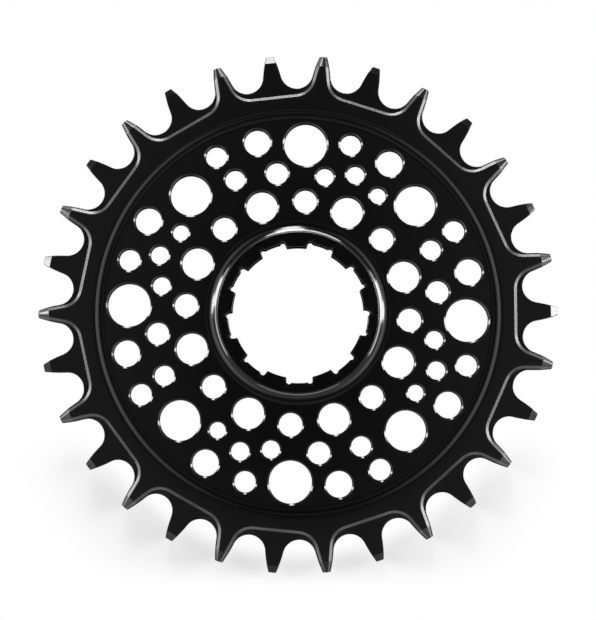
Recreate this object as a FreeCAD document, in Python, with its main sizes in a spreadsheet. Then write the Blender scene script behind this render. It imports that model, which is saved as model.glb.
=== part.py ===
# Single-speed cog: a narrow-wide bicycle sprocket machined from one aluminium plate.
#
# The plate lies flat with the wheel axis on Z, the outer side up and the end of the spline boss on
# the ground plane. One narrow tooth points along +X. Lengths are in millimetres, angles in degrees.
import FreeCAD
import Part
import Sketcher
import os

NODE_NAME = "single_speed_cog"

# Driving sizes: alias, value, what it is.
TOOTH_SIZES = (
    ("chain_pitch", 12.7, "distance between two chain rollers"),
    ("tooth_pairs", 15, "pairs of one narrow and one wide tooth"),
    ("seat_radius", 4.1, "round roller seat between two teeth"),
    ("seat_half_angle", 74.6, "arc of the seat on either side of its lowest point"),
    ("flank_radius", 34, "convex tooth flank above the seat"),
    ("addendum", 4.4, "tooth height above the pitch circle"),
    ("narrow_thickness", 2.3, "narrow tooth, which enters the inner chain links"),
    ("relief_depth", 0.65, "step from a wide tooth down to a narrow one, on each side"),
    ("tip_thickness", 0.54, "edge left at the tooth tip by the two bevels"),
    ("bevel_angle", 26.5, "turned bevel on the tooth tips, from the plane of the plate"),
)
RELIEF_SIZES = (
    ("relief_margin", 2.45, "from the root circle in to the straight edge of the relief"),
    ("relief_corner_radius", 5.3, "round corners of the relief"),
    ("relief_slope", 45, "draft of the relief wall"),
    ("pad_half_width", 1.1, "half width of a wide tooth's raised pad at the pitch circle"),
    ("pad_flank_angle", 10.5, "lean of the pad's edge towards the tooth's own middle line"),
)
PLATE_SIZES = (
    ("rim_flat", 2.7, "flat rim between the relief and the step to the web"),
    ("web_thickness", 2.85, "web, flush with the rim at the back"),
    ("web_step_angle", 28, "steepest slope of the rounded step from rim to web"),
    ("step_crest_share", 0.33, "share of that step that its convex upper round takes"),
    ("boss_wall", 2.55, "boss material around the spline grooves"),
    ("boss_cove_width", 3.05, "concave fillet between boss and web, outer side, across the web"),
    ("boss_cove_height", 1.45, "the same fillet, from the web up to the wall of the boss"),
    ("boss_rise", 0.2, "straight wall of the boss above that fillet"),
    ("boss_standoff", 1.2, "square shoulder of the boss behind the back face"),
)
SPLINE_SIZES = (
    ("spline_count", 9, "grooves, equally spaced"),
    ("spline_bore_radius", 16.45, "inner faces of the lands"),
    ("spline_depth", 1.2, "from the lands to the groove floor"),
    ("groove_width", 6.5, "groove with parallel sides"),
    ("groove_angle", 30.9, "first groove, from the narrow tooth on X"),
)
HOLE_SIZES = (
    ("inner_circle_offset", 4.85, "from the foot of the boss out to the inner hole circle"),
)

# Lightening holes: name, first angle from +X, inset of the hole circle from the edge of the web
# (none for the inner circle, which is set from the boss), diameter.
EIGHTFOLD_HOLES = (
    ("inner_large", 18.5, None, 7.85),
    ("inner_small", 40.9, None, 5.9),
    ("outer_large", 13.1, 4.38, 6.65),
    ("outer_small", 27.3, 4.18, 5.35),
)
FOURFOLD_HOLES = (
    ("big_inboard", 42.1, 8.48, 10.15),
    ("big_outboard", 87.1, 6.08, 10.75),
    ("middle_first", 8.2, 12.98, 5.6),
    ("middle_second", 24.95, 11.48, 5.05),
    ("middle_third", 55.35, 12.83, 4.1),
    ("middle_fourth", 67.05, 10.88, 4.6),
    ("middle_fifth", 78.5, 13.58, 4.5),
)
EIGHTFOLD = 8
FOURFOLD = 4

# Radii that follow from the driving sizes, from the teeth inwards.
TOOTH_COUNT = "(2 * dims.tooth_pairs)"
TOOTH_STEP = f"(360 / {TOOTH_COUNT})"
PITCH_RADIUS = f"(dims.chain_pitch / 2 / sin({TOOTH_STEP} / 2))"
TIP_RADIUS = f"({PITCH_RADIUS} + dims.addendum)"
RELIEF_CHORD = f"({PITCH_RADIUS} - dims.seat_radius - dims.relief_margin)"
RIM_EDGE = f"({RELIEF_CHORD} - dims.rim_flat)"
WIDE_THICKNESS = "(dims.narrow_thickness + 2 * dims.relief_depth)"
WEB_RECESS = f"({WIDE_THICKNESS} - dims.web_thickness)"
STEP_RADII = f"({WEB_RECESS} / (1 - cos(dims.web_step_angle)))"
CREST_RADIUS = f"({STEP_RADII} * dims.step_crest_share)"
FOOT_RADIUS = f"({STEP_RADII} - {CREST_RADIUS})"
STEP_MIDDLE = f"({RIM_EDGE} - {CREST_RADIUS} * sin(dims.web_step_angle))"
WEB_OUTER = f"({RIM_EDGE} - {STEP_RADII} * sin(dims.web_step_angle))"

# Radii from the bore outwards.
GROOVE_RADIUS = "(dims.spline_bore_radius + dims.spline_depth)"
BOSS_RADIUS = f"({GROOVE_RADIUS} + dims.boss_wall)"
WEB_INNER = f"({BOSS_RADIUS} + dims.boss_cove_width)"
COVE_RADIUS = "((dims.boss_cove_width ^ 2 + dims.boss_cove_height ^ 2) / 2 / dims.boss_cove_height)"
INNER_CIRCLE = f"({WEB_INNER} + dims.inner_circle_offset)"

# Heights above the end of the boss.
BACK_HEIGHT = "dims.boss_standoff"
FRONT_HEIGHT = f"({BACK_HEIGHT} + {WIDE_THICKNESS})"
MIDDLE_HEIGHT = f"({BACK_HEIGHT} + {WIDE_THICKNESS} / 2)"
WEB_HEIGHT = f"({BACK_HEIGHT} + dims.web_thickness)"
STEP_HEIGHT = f"({FRONT_HEIGHT} - {WEB_RECESS} * dims.step_crest_share)"
COVE_TOP = f"({WEB_HEIGHT} + dims.boss_cove_height)"
BOSS_HEIGHT = f"({COVE_TOP} + dims.boss_rise)"
BEVEL_RUN = f"(({WIDE_THICKNESS} - dims.tip_thickness) / 2 / tan(dims.bevel_angle))"

# Sides that an arc bends to, and the sketcher's own numbers for points and axes.
LEFT = 1
RIGHT = -1
START, END, CENTRE = range(1, 4)
ORIGIN_POINT = (-1, 1)
X_AXIS = -1
Z_AXIS_ROLE = "Z_Axis"
FLAT_PLANE_ROLE = "XY_Plane"
SECTION_PLANE_ROLE = "XZ_Plane"
UP = FreeCAD.Vector(0, 0, 1)
VOLUME_TOLERANCE = 1e-3


def fill_sheet(doc):
    """Put every driving size into the sheet, one row each, under its alias."""
    sheet = doc.addObject("Spreadsheet::Sheet", "dims")
    rows = list(TOOTH_SIZES + RELIEF_SIZES + PLATE_SIZES + SPLINE_SIZES + HOLE_SIZES)
    for name, angle, inset, diameter in EIGHTFOLD_HOLES + FOURFOLD_HOLES:
        rows.append((f"{name}_angle", angle, "place of this hole round the axis"))
        rows.append((f"{name}_diameter", diameter, "bore of this hole"))
        if inset is not None:
            rows.append((f"{name}_inset", inset, "from the edge of the web in to the hole centre"))
    for number, (alias, value, note) in enumerate(rows, start=1):
        sheet.set(f"A{number}", alias)
        sheet.set(f"B{number}", str(value))
        sheet.set(f"C{number}", note)
        sheet.setAlias(f"B{number}", alias)
    doc.recompute()
    return sheet


def origin_item(body, role):
    """Return the body's own origin plane or axis with this role."""
    return next(item for item in body.Origin.OriginFeatures if item.Role == role)


def value_of(owner, expression):
    """Work out an expression of sheet values as a plain number."""
    return float(owner.evalExpression(expression))


def new_sketch(body, name, role, height=None, turn=None):
    """Add a sketch on an origin plane, lifted and turned by expressions where given."""
    sketch = body.newObject("Sketcher::SketchObject", name)
    sketch.AttachmentSupport = [(origin_item(body, role), "")]
    sketch.MapMode = "FlatFace"
    if height is not None:
        sketch.setExpression("AttachmentOffset.Base.z", height)
    if turn is not None:
        sketch.setExpression("AttachmentOffset.Rotation.Angle", turn)
    return sketch


def bind(sketch, name, expression, *reference):
    """Add one driving constraint, named, and tie it to the sheet."""
    index = sketch.addConstraint(Sketcher.Constraint(*reference, value_of(sketch, expression)))
    sketch.renameConstraint(index, name)
    sketch.setExpression(f"Constraints.{name}", expression)


def place_point(sketch, geometry, point, name, across, along):
    """Fix a point of the sketch by its two distances from the sketch origin."""
    bind(sketch, f"{name}_across", across, "DistanceX", *ORIGIN_POINT, geometry, point)
    if along is None:
        sketch.addConstraint(Sketcher.Constraint("PointOnObject", geometry, point, X_AXIS))
    else:
        bind(sketch, f"{name}_along", along, "DistanceY", *ORIGIN_POINT, geometry, point)


def arc_between(start, end, radius, turn):
    """Return the short arc from start to end that bends to the given side."""
    half = (end - start) * 0.5
    side = UP.cross(half).normalize() * turn
    centre = start + half + side * (radius ** 2 - half.Length ** 2) ** 0.5
    middle = centre + (start + half - centre).normalize() * radius
    return Part.Arc(start, middle, end)


def draw_outline(sketch, corners):
    """Draw a closed outline through named corners.

    A corner is (name, across, along, radius, turn). Radius and turn belong to the arc that leaves
    the corner, and are None where a straight line leaves it. Along is None for a corner on the axis.
    """
    points = []
    for _, across, along, _, _ in corners:
        height = 0.0 if along is None else value_of(sketch, along)
        points.append(FreeCAD.Vector(value_of(sketch, across), height, 0))
    ends = []
    for number, (name, _, _, radius, turn) in enumerate(corners):
        start = points[number]
        end = points[(number + 1) % len(points)]
        if radius is None:
            geometry = sketch.addGeometry(Part.LineSegment(start, end))
            ends.append((geometry, START, END))
        else:
            arc = arc_between(start, end, value_of(sketch, radius), turn)
            geometry = sketch.addGeometry(arc)
            first, last = (START, END) if turn == LEFT else (END, START)
            ends.append((geometry, first, last))
    for number, (name, across, along, radius, _) in enumerate(corners):
        geometry, first, last = ends[number]
        following, following_first, _ = ends[(number + 1) % len(ends)]
        sketch.addConstraint(Sketcher.Constraint("Coincident", geometry, last, following, following_first))
        place_point(sketch, geometry, first, name, across, along)
        if radius is not None:
            bind(sketch, f"{name}_radius", radius, "Radius", geometry)


def draw_circle(sketch, name, across, along, radius):
    """Draw one circle by its centre and radius."""
    centre = FreeCAD.Vector(value_of(sketch, across), value_of(sketch, along), 0)
    geometry = sketch.addGeometry(Part.Circle(centre, UP, value_of(sketch, radius)))
    place_point(sketch, geometry, CENTRE, name, across, along)
    bind(sketch, f"{name}_radius", radius, "Radius", geometry)


def cut(body, name, sketch, upwards, depth=None, draft=None):
    """Pocket a sketch right through, or to a depth with drafted walls."""
    pocket = body.newObject("PartDesign::Pocket", name)
    pocket.Profile = sketch
    pocket.Reversed = upwards
    if depth is None:
        pocket.Type = "ThroughAll"
    else:
        pocket.Type = "Length"
        pocket.setExpression("Length", depth)
    if draft is not None:
        pocket.setExpression("TaperAngle", f"-{draft}")
    sketch.Visibility = False
    return pocket


def repeat(body, name, features, count):
    """Repeat cuts evenly round the wheel axis."""
    pattern = body.newObject("PartDesign::PolarPattern", name)
    pattern.Originals = features
    pattern.Axis = (origin_item(body, Z_AXIS_ROLE), [""])
    pattern.Angle = 360
    pattern.setExpression("Occurrences", count)
    body.Tip = pattern
    return pattern


def turn_blank(body):
    """Revolve the section of the plate: boss, web, rounded step, rim and bevelled edge."""
    sketch = new_sketch(body, "section", SECTION_PLANE_ROLE)
    bevel_start = f"{TIP_RADIUS} - {BEVEL_RUN}"
    half_tip = "dims.tip_thickness / 2"
    draw_outline(sketch, (
        ("bore_back", "dims.spline_bore_radius", None, None, None),
        ("boss_back", BOSS_RADIUS, None, None, None),
        ("shoulder", BOSS_RADIUS, BACK_HEIGHT, None, None),
        ("bevel_back", bevel_start, BACK_HEIGHT, None, None),
        ("tip_back", TIP_RADIUS, f"{MIDDLE_HEIGHT} - {half_tip}", None, None),
        ("tip_front", TIP_RADIUS, f"{MIDDLE_HEIGHT} + {half_tip}", None, None),
        ("bevel_front", bevel_start, FRONT_HEIGHT, None, None),
        ("rim_edge", RIM_EDGE, FRONT_HEIGHT, CREST_RADIUS, LEFT),
        ("step_middle", STEP_MIDDLE, STEP_HEIGHT, FOOT_RADIUS, RIGHT),
        ("web_outer", WEB_OUTER, WEB_HEIGHT, None, None),
        ("web_inner", WEB_INNER, WEB_HEIGHT, COVE_RADIUS, RIGHT),
        ("cove_top", BOSS_RADIUS, COVE_TOP, None, None),
        ("boss_front", BOSS_RADIUS, BOSS_HEIGHT, None, None),
        ("bore_front", "dims.spline_bore_radius", BOSS_HEIGHT, None, None),
    ))
    blank = body.newObject("PartDesign::Revolution", "blank")
    blank.Profile = sketch
    blank.ReferenceAxis = (origin_item(body, Z_AXIS_ROLE), [""])
    blank.Angle = 360
    body.Tip = blank


def cut_teeth(body):
    """Mill the gap between two teeth: a roller seat with a convex flank on either side."""
    sketch = new_sketch(body, "tooth_gap", FLAT_PLANE_ROLE, turn=f"{TOOTH_STEP} / 2")
    seat_end = f"{PITCH_RADIUS} - dims.seat_radius * cos(dims.seat_half_angle)"
    seat_side = "dims.seat_radius * sin(dims.seat_half_angle)"
    flank_length = "(dims.addendum + dims.seat_radius)"
    flank_angle = f"(dims.seat_half_angle - {flank_length} / dims.flank_radius * 180 / pi)"
    both_radii = "(dims.seat_radius + dims.flank_radius)"
    flank_centre = f"({PITCH_RADIUS} - {both_radii} * cos(dims.seat_half_angle))"
    flank_end = f"{flank_centre} + dims.flank_radius * cos({flank_angle})"
    flank_side = f"{both_radii} * sin(dims.seat_half_angle) - dims.flank_radius * sin({flank_angle})"
    draw_outline(sketch, (
        ("left_end", flank_end, flank_side, "dims.flank_radius", RIGHT),
        ("left_seat", seat_end, seat_side, "dims.seat_radius", LEFT),
        ("right_seat", seat_end, f"-({seat_side})", "dims.flank_radius", RIGHT),
        ("right_end", flank_end, f"-({flank_side})", None, None),
    ))
    gap = cut(body, "tooth_gap_cut", sketch, upwards=True)
    repeat(body, "tooth_gaps", [gap], TOOTH_COUNT)


def draw_relief(sketch):
    """Draw the relief round one narrow tooth, out to the raised pads of the wide teeth beside it."""
    line_angle = f"({TOOTH_STEP} + dims.pad_flank_angle)"
    pad_across = f"({PITCH_RADIUS} * cos({TOOTH_STEP}) + dims.pad_half_width * sin({TOOTH_STEP}))"
    pad_along = f"({PITCH_RADIUS} * sin({TOOTH_STEP}) - dims.pad_half_width * cos({TOOTH_STEP}))"
    corner_along = f"({pad_along} - ({pad_across} - {RELIEF_CHORD}) * tan({line_angle}))"
    tangent = f"(dims.relief_corner_radius * tan((90 - {line_angle}) / 2))"
    chord_half = f"({corner_along} - {tangent})"
    side_across = f"{RELIEF_CHORD} + {tangent} * cos({line_angle})"
    side_along = f"({corner_along} + {tangent} * sin({line_angle}))"
    reach = f"({TIP_RADIUS} + {WIDE_THICKNESS})"
    reach_along = f"({pad_along} + ({reach} - {pad_across}) * tan({line_angle}))"
    draw_outline(sketch, (
        ("left_chord", RELIEF_CHORD, chord_half, None, None),
        ("right_chord", RELIEF_CHORD, f"-{chord_half}", "dims.relief_corner_radius", LEFT),
        ("right_side", side_across, f"-{side_along}", None, None),
        ("right_reach", reach, f"-{reach_along}", None, None),
        ("left_reach", reach, reach_along, None, None),
        ("left_side", side_across, side_along, "dims.relief_corner_radius", LEFT),
    ))


def cut_reliefs(body):
    """Thin every second tooth from both sides, with a drafted wall round each relief."""
    outer = new_sketch(body, "relief_outer", FLAT_PLANE_ROLE, height=FRONT_HEIGHT)
    draw_relief(outer)
    outer_cut = cut(body, "relief_outer_cut", outer, False, "dims.relief_depth", "dims.relief_slope")
    inner = new_sketch(body, "relief_back", FLAT_PLANE_ROLE, height=BACK_HEIGHT)
    draw_relief(inner)
    inner_cut = cut(body, "relief_back_cut", inner, True, "dims.relief_depth", "dims.relief_slope")
    repeat(body, "reliefs", [outer_cut, inner_cut], "dims.tooth_pairs")


def cut_splines(body):
    """Broach the grooves of the bore."""
    half_width = "dims.groove_width / 2"
    floor = f"sqrt({GROOVE_RADIUS} ^ 2 - ({half_width}) ^ 2)"
    inside = "(dims.spline_bore_radius - dims.spline_depth)"
    groove = new_sketch(body, "groove", FLAT_PLANE_ROLE, turn="dims.groove_angle")
    draw_outline(groove, (
        ("right_inside", inside, f"-{half_width}", None, None),
        ("right_floor", floor, f"-{half_width}", GROOVE_RADIUS, LEFT),
        ("left_floor", floor, half_width, None, None),
        ("left_inside", inside, half_width, None, None),
    ))
    groove_cut = cut(body, "groove_cut", groove, upwards=True)
    repeat(body, "grooves", [groove_cut], "dims.spline_count")


def drill_holes(body, name, holes, count):
    """Drill one set of lightening holes through the web and repeat it round the axis."""
    sketch = new_sketch(body, f"{name}_holes", FLAT_PLANE_ROLE)
    for hole, _, inset, _ in holes:
        circle = INNER_CIRCLE if inset is None else f"({WEB_OUTER} - dims.{hole}_inset)"
        across = f"{circle} * cos(dims.{hole}_angle)"
        along = f"{circle} * sin(dims.{hole}_angle)"
        draw_circle(sketch, hole, across, along, f"dims.{hole}_diameter / 2")
    hole_cut = cut(body, f"{name}_hole_cut", sketch, upwards=True)
    repeat(body, f"{name}_pattern", [hole_cut], str(count))


def check_document(doc, body):
    """Stop if any object failed, a cut removed nothing or the solid isn't sound."""
    for item in doc.Objects:
        if "Invalid" in item.State or "Error" in item.State:
            raise RuntimeError(f"{item.Name} failed: {item.State}")
    volume = None
    for feature in body.Group:
        if not feature.isDerivedFrom("PartDesign::Feature"):
            continue
        if volume is not None and feature.Shape.Volume > volume - VOLUME_TOLERANCE:
            raise RuntimeError(f"{feature.Name} removes nothing")
        volume = feature.Shape.Volume
    shape = body.Shape
    if shape.isNull() or not shape.isValid() or len(shape.Solids) != 1:
        raise RuntimeError(f"{body.Label} isn't one sound solid")


def main():
    """Build the cog and write its solid."""
    doc = FreeCAD.newDocument(NODE_NAME)
    fill_sheet(doc)
    body = doc.addObject("PartDesign::Body", "cog")
    body.Label = NODE_NAME
    turn_blank(body)
    cut_teeth(body)
    cut_reliefs(body)
    cut_splines(body)
    drill_holes(body, "eightfold", EIGHTFOLD_HOLES, EIGHTFOLD)
    drill_holes(body, "fourfold", FOURFOLD_HOLES, FOURFOLD)
    doc.recompute()
    check_document(doc, body)
    os.makedirs("parts", exist_ok=True)
    body.Shape.exportStep(f"parts/{body.Label}.step")
    print(f"{body.Label}: {body.Shape.Volume / 1000:.2f} cubic centimetres")


main()
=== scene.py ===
"""Black single-speed cog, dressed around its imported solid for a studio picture.

Plan points are complex numbers in millimetres, seen from the outer side with the wheel axis at zero.
Heights are millimetres above the end of the spline boss, and Blender gets metres. The classes of the cog
hold millimetres and degrees, those of the studio metres and degrees.
"""

import logging
import math
from collections.abc import Iterator
from dataclasses import dataclass, field
from enum import Enum
from typing import ClassVar

import bpy
import numpy as np
from mathutils import Matrix, Vector
from mathutils.geometry import delaunay_2d_cdt
from mathutils.kdtree import KDTree


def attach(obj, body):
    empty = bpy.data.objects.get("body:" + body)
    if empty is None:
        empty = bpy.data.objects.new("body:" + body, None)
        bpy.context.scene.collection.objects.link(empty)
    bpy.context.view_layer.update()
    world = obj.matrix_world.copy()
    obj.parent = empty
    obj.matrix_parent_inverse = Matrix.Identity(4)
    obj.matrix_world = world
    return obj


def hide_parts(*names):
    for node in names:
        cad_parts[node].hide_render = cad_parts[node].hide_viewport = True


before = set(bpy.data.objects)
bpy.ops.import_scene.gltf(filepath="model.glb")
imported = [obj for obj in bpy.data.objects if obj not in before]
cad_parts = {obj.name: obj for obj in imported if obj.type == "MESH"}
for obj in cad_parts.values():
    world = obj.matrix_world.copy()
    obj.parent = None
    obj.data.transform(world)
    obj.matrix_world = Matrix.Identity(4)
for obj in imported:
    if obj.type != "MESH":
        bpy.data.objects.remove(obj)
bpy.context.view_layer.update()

CAD_NODE = "single_speed_cog"
CAD_BODY = "root"
MM = 0.001
# Point attribute of the paler edges: partly wear, and partly a painted highlight where broken edges and pad
# crests catch the light.
WEAR_AND_GLINT_ATTRIBUTE = "edge"
# Tone in which the floor and the horizon meet, where 1 is white.
FAR_TONE = 0.35
# Numbers of the sockets that carry colours in Blender's Mix node.
MIX_COLOURS = (6, 7)
MIX_RESULT = 2

Colour = tuple[float, float, float]
log = logging.getLogger("cog")


class Metal(Enum):
    """Side of an arc that the metal is on, seen from the arc's centre."""

    INSIDE = -1
    OUTSIDE = 1


class Region(Enum):
    """Surfaces of the cog that are cut in different ways, as material numbers of its mesh."""

    FACE = 0
    BEVEL = 1
    WALL = 2
    BOSS = 3
    HOLE = 4
    RELIEF = 5


def direction(degrees: float) -> complex:
    """Unit plan vector at this angle from +X."""
    return complex(math.cos(math.radians(degrees)), math.sin(math.radians(degrees)))


def bearing(vector: complex) -> float:
    """Angle of a plan vector from +X, in degrees."""
    return math.degrees(math.atan2(vector.imag, vector.real))


def circles_meet(first: complex, first_radius: float, second: complex, second_radius: float) -> complex:
    """Find where two circles meet, on the left of the line from the first centre to the second.

    Args:
        first: Centre of the first circle.
        first_radius: Its radius.
        second: Centre of the second circle.
        second_radius: Its radius.

    Returns:
        The meeting point.
    """
    gap = abs(second - first)
    along = (gap ** 2 + first_radius ** 2 - second_radius ** 2) / (2 * gap)
    aside = math.sqrt(first_radius ** 2 - along ** 2)
    return first + (second - first) / gap * complex(along, aside)


def circle(radius: float, chords: int) -> np.ndarray:
    """Points of a full circle round the axis, anticlockwise."""
    return radius * np.exp(2j * math.pi * np.arange(chords) / chords)


@dataclass(frozen=True)
class Outline:
    """A line in the plan with the direction into the metal at each of its points."""

    points: np.ndarray
    normals: np.ndarray

    def inset(self, depth: float) -> np.ndarray:
        """Points of the same line, moved into the metal."""
        return self.points + self.normals * depth

    def full_turn(self, copies: int, first: float) -> "Outline":
        """Mirror and repeat this line, which covers half of one copy, round the axis.

        Args:
            copies: How many times the mirrored pair repeats.
            first: Angle in degrees that the line's own zero is turned to.

        Returns:
            The closed outline.
        """
        swap = direction(360 / copies)
        points = np.concatenate([self.points, (swap * self.points.conj())[-2:0:-1]])
        normals = np.concatenate([self.normals, (swap * self.normals.conj())[-2:0:-1]])
        turns = np.exp(1j * (math.radians(first) + 2 * math.pi * np.arange(copies) / copies))
        return Outline(np.outer(turns, points).ravel(), np.outer(turns, normals).ravel())


def arc(centre: complex, radius: float, start: float, end: float, chords: int, metal: Metal) -> Outline:
    """Draw an arc, from one angle to another in degrees.

    Args:
        centre: Centre of the arc.
        radius: Its radius.
        start: Angle of its first point.
        end: Angle of its last point.
        chords: Number of chords.
        metal: Side of the arc that the metal is on.

    Returns:
        The arc as a line with normals.
    """
    spokes = np.exp(1j * np.radians(np.linspace(start, end, chords + 1)))
    return Outline(centre + radius * spokes, metal.value * spokes)


def chain(*lines: Outline) -> Outline:
    """Join lines that run tangentially into each other, keeping one point at each joint.

    Args:
        lines: The lines, each starting where the one before ends.

    Returns:
        One line.
    """
    points = [lines[0].points] + [line.points[1:] for line in lines[1:]]
    normals = [lines[0].normals] + [line.normals[1:] for line in lines[1:]]
    return Outline(np.concatenate(points), np.concatenate(normals))


@dataclass(frozen=True)
class EdgeBreak:
    """A small round where a wall meets a face."""

    radius: float
    bands: int

    def rings(self) -> Iterator[tuple[float, float]]:
        """Give each ring of the round, from the wall to the face.

        Yields:
            How far the ring is from the wall, and how far below the face.
        """
        for number in range(self.bands + 1):
            angle = math.pi / 2 * number / self.bands
            yield self.radius * (1 - math.cos(angle)), self.radius * (1 - math.sin(angle))

    def drop(self, distance: float) -> float:
        """How far the round lies below the face at this distance from the wall."""
        short = min(max(self.radius - distance, 0), self.radius)
        return self.radius - math.sqrt(self.radius ** 2 - short ** 2)


@dataclass(frozen=True)
class Countersink:
    """A small cone where a hole meets a face."""

    width: float
    angle: float

    def rings(self) -> Iterator[tuple[float, float]]:
        """Give the two rings of the cone, from the wall to the face.

        Yields:
            How far the ring is from the wall, and how far below the face.
        """
        yield 0.0, self.drop(0)
        yield self.width, 0.0

    def drop(self, distance: float) -> float:
        """How far the cone lies below the face at this distance from the wall."""
        return max(self.width - distance, 0) * math.tan(math.radians(self.angle))


BrokenEdge = EdgeBreak | Countersink


@dataclass
class Planform:
    """Plan of the cog: outlines with broken edges and crease lines, filled with triangles.

    The first outline added is the outer one.
    """

    tolerance: float = 1e-5
    points: list[complex] = field(default_factory=list)
    drops: list[float | None] = field(default_factory=list)
    creases: list[tuple[int, int]] = field(default_factory=list)
    loops: list[list[int]] = field(default_factory=list)
    borders: list[tuple[Outline, BrokenEdge]] = field(default_factory=list)

    def add_line(self, points: np.ndarray, closed: bool = False, drop: float | None = None) -> list[int]:
        """Add a crease line that triangles don't cross.

        Args:
            points: Points of the line.
            closed: Whether the last point joins the first.
            drop: How far the line lies below the face, where an edge break sets it.

        Returns:
            Numbers of the points in the plan.
        """
        first = len(self.points)
        numbers = list(range(first, first + len(points)))
        self.points.extend(complex(point) for point in points)
        self.drops.extend([drop] * len(points))
        self.creases.extend(zip(numbers, numbers[1:]))
        if closed:
            self.creases.append((numbers[-1], numbers[0]))
        return numbers

    def add_outline(self, outline: Outline, edge: BrokenEdge) -> None:
        """Add a closed outline with the rings of its broken edge.

        Args:
            outline: The outline, anticlockwise.
            edge: The round or cone along it.
        """
        loops = [self.add_line(outline.inset(inset), True, drop) for inset, drop in edge.rings()]
        self.loops.append(loops[0])
        self.borders.append((outline, edge))

    def fill(self) -> tuple[np.ndarray, np.ndarray, np.ndarray]:
        """Triangulate the metal between the outer outline and the others.

        Returns:
            Plan points, triangles as rows of three point numbers, and the edge drop at each point.
        """
        flat = [Vector((point.real, point.imag)) for point in self.points]
        all_triangles = 0
        spots, _, faces, sources, _, owners = delaunay_2d_cdt(
            flat, self.creases, self.loops, all_triangles, self.tolerance)
        outer_only = [0]
        metal = np.array([face for face, owner in zip(faces, owners) if owner == outer_only])
        used, triangles = np.unique(metal, return_inverse=True)
        plan = np.array([complex(spots[number].x, spots[number].y) for number in used])
        drops = self.edge_drops(plan, [sources[number] for number in used])
        return plan, triangles.reshape(-1, 3), drops

    def edge_drops(self, plan: np.ndarray, sources: list[list[int]]) -> np.ndarray:
        """Work out how far each point lies below its face because of a broken edge.

        Args:
            plan: Points of the filled plan.
            sources: For each of them, the numbers of the points it was made from.

        Returns:
            The drops in millimetres.
        """
        tree = KDTree(sum(len(outline.points) for outline, _ in self.borders))
        owners: list[tuple[int, int]] = []
        for border, (outline, _) in enumerate(self.borders):
            for number, point in enumerate(outline.points):
                tree.insert((point.real, point.imag, 0), len(owners))
                owners.append((border, number))
        tree.balance()
        drops = np.zeros(len(plan))
        for number, point in enumerate(plan):
            known = [self.drops[source] for source in sources[number] if self.drops[source] is not None]
            if known:
                drops[number] = max(known)
                continue
            _, nearest, _ = tree.find((point.real, point.imag, 0))
            border, corner = owners[nearest]
            outline, edge = self.borders[border]
            drops[number] = edge.drop(self.wall_distance(point, outline.points, corner))
        return drops

    @staticmethod
    def wall_distance(point: complex, outline: np.ndarray, corner: int) -> float:
        """Measure from a point to the two chords of an outline that meet at its nearest corner.

        Args:
            point: The point.
            outline: Points of the closed outline.
            corner: Number of the nearest corner.

        Returns:
            The shorter distance.
        """
        distances = []
        for other in (corner - 1, (corner + 1) % len(outline)):
            chord = outline[other] - outline[corner]
            share = ((point - outline[corner]) * chord.conjugate()).real / abs(chord) ** 2
            distances.append(abs(point - outline[corner] - chord * min(max(share, 0), 1)))
        return min(distances)


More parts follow.
